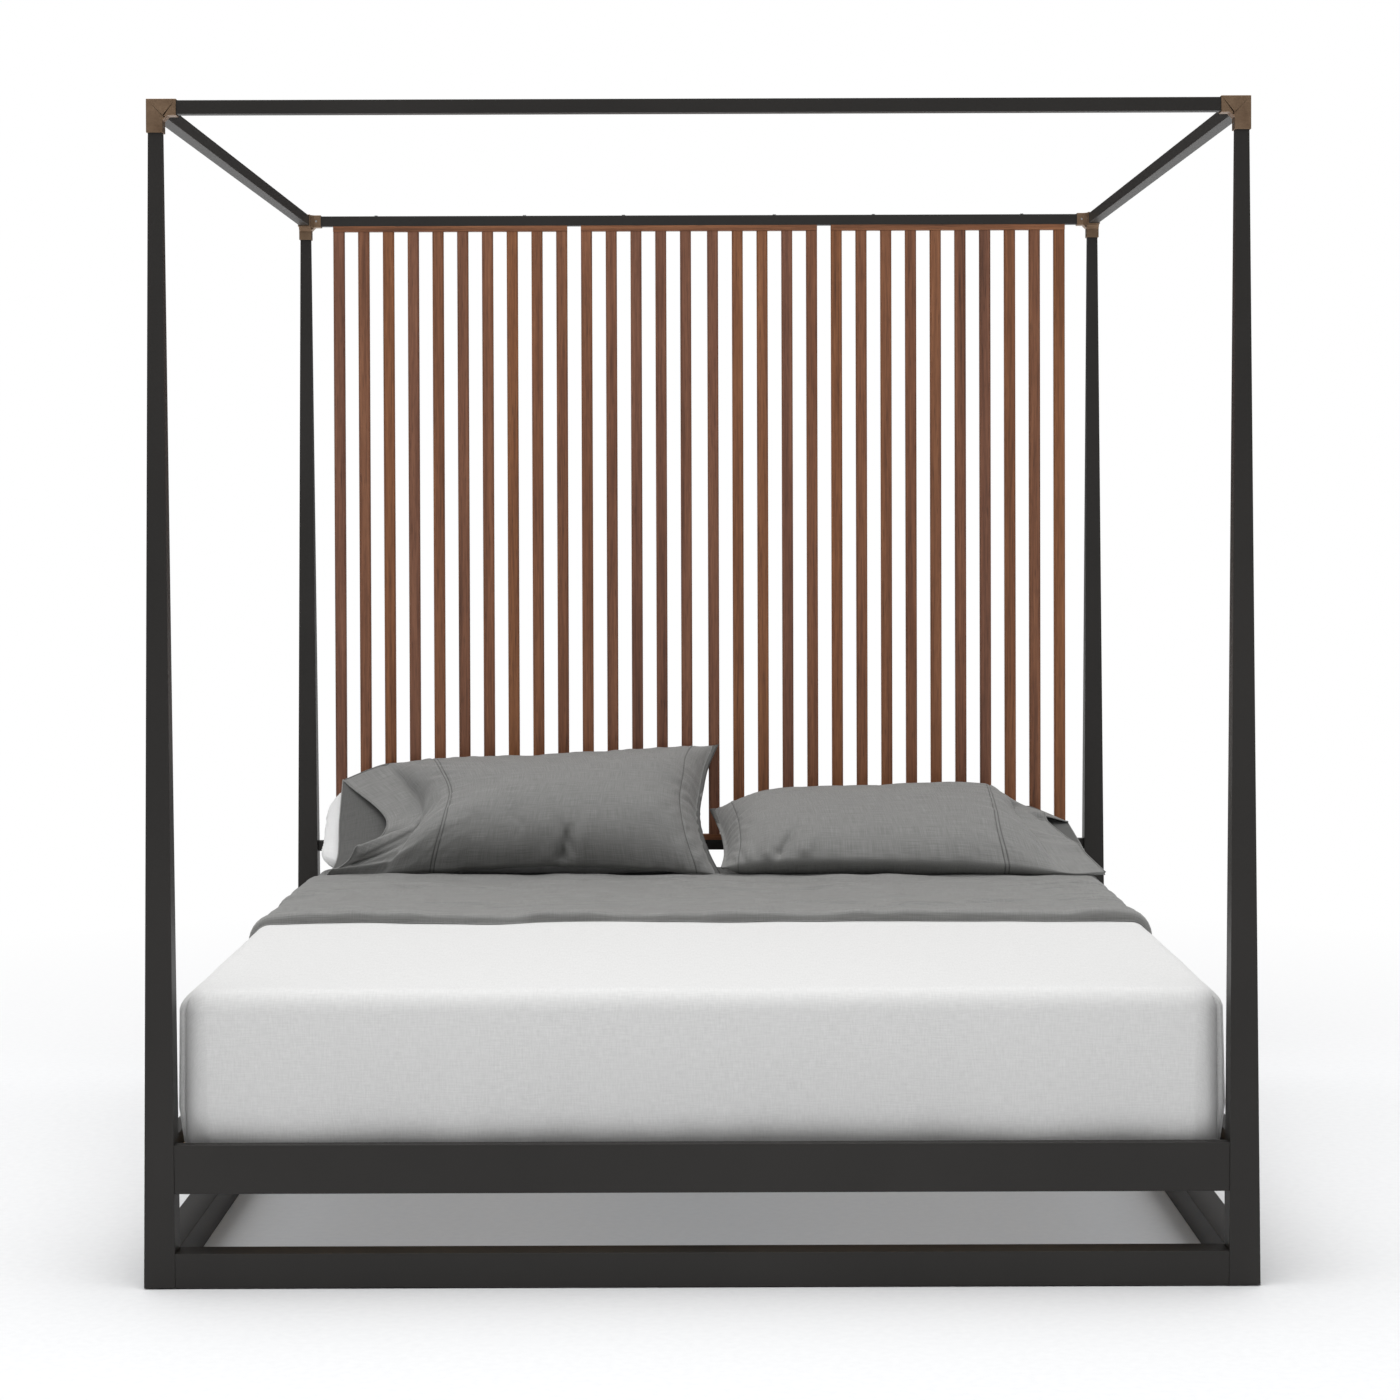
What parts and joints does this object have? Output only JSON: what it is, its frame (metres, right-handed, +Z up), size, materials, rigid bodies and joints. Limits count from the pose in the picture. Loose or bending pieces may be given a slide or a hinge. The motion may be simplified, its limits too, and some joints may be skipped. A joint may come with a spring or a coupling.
{
  "type": "four poster canopy bed",
  "caption": "Steel canopy bed with tapered posts, bronze corner sleeves, a vertical walnut slat headboard, a slatted platform, a king mattress and linen bedding.",
  "frame": {"origin": "on the floor, at the middle of the bed's footprint", "axes": "+Z up, the bed's height; +X to the right seen from the foot end, its width; +Y from the foot end to the headboard"},
  "size_m": [2.06, 2.16, 2.194],
  "materials": {
    "frame": "satin",
    "bronze": "satin",
    "walnut": "satin",
    "deck_wood": "matte",
    "zinc": "satin",
    "nylon": "matte",
    "mattress": "matte",
    "coverlet": "matte",
    "sheet_gray": "matte",
    "pillow_white": "matte",
    "pillow_gray": "matte"
  },
  "bodies": {
    "frame": {"post_front_left": "frame", "post_front_right": "frame", "post_rear_left": "frame", "post_rear_right": "frame", "post_glides": "nylon", "bracket_front_left": "bronze", "bracket_front_right": "bronze", "bracket_rear_left": "bronze", "bracket_rear_right": "bronze", "bracket_set_screws": "zinc", "canopy_rail_front": "frame", "canopy_rail_rear": "frame", "canopy_rail_left": "frame", "canopy_rail_right": "frame", "platform_rail_front": "frame", "platform_rail_rear": "frame", "platform_rail_left": "frame", "platform_rail_right": "frame", "base_rail_front": "frame", "base_rail_rear": "frame", "base_rail_left": "frame", "base_rail_right": "frame", "headboard_crossbar": "frame", "panel_left_top_rail": "walnut", "panel_middle_top_rail": "walnut", "panel_right_top_rail": "walnut", "panel_left_slats": "walnut", "panel_middle_slats": "walnut", "panel_right_slats": "walnut", "panel_left_bottom_rail": "walnut", "panel_middle_bottom_rail": "walnut", "panel_right_bottom_rail": "walnut", "panel_screws": "zinc", "slat_ledge_left": "frame", "slat_ledge_right": "frame", "centre_beam": "frame", "beam_hanger_front": "zinc", "beam_hanger_rear": "zinc", "hanger_screws": "zinc", "support_leg_1": "frame", "support_leg_2": "frame", "support_leg_3": "frame", "leg_screws": "zinc", "deck_slats": "deck_wood", "slat_screws": "zinc"},
    "bedding": {"mattress": "mattress", "fitted_sheet": "sheet_gray", "coverlet": "coverlet", "top_sheet": "sheet_gray"},
    "white_pillow": {"pillow_white": "pillow_white"},
    "left_pillow": {"pillow_left": "pillow_gray"},
    "right_pillow": {"pillow_right": "pillow_gray"},
    "leveller_1": {"levelling_foot_1": "nylon"},
    "leveller_2": {"levelling_foot_2": "nylon"},
    "leveller_3": {"levelling_foot_3": "nylon"}
  },
  "joints": [
    {"name": "bedding_lift", "type": "slide", "parent": "frame", "child": "bedding", "axis": [0, 0, 1], "range_m": [0, 0.35]},
    {"name": "white_pillow_lift", "type": "slide", "parent": "bedding", "child": "white_pillow", "axis": [0, 0, 1], "range_m": [0, 0.3]},
    {"name": "left_pillow_lift", "type": "slide", "parent": "white_pillow", "child": "left_pillow", "axis": [0, 0, 1], "range_m": [0, 0.35]},
    {"name": "right_pillow_lift", "type": "slide", "parent": "bedding", "child": "right_pillow", "axis": [0, 0, 1], "range_m": [0, 0.4]},
    {"name": "leveller_1_screw", "type": "slide", "parent": "frame", "child": "leveller_1", "axis": [0, 0, -1], "range_m": [0, 0.012]},
    {"name": "leveller_2_screw", "type": "slide", "parent": "frame", "child": "leveller_2", "axis": [0, 0, -1], "range_m": [0, 0.012]},
    {"name": "leveller_3_screw", "type": "slide", "parent": "frame", "child": "leveller_3", "axis": [0, 0, -1], "range_m": [0, 0.012]}
  ]
}
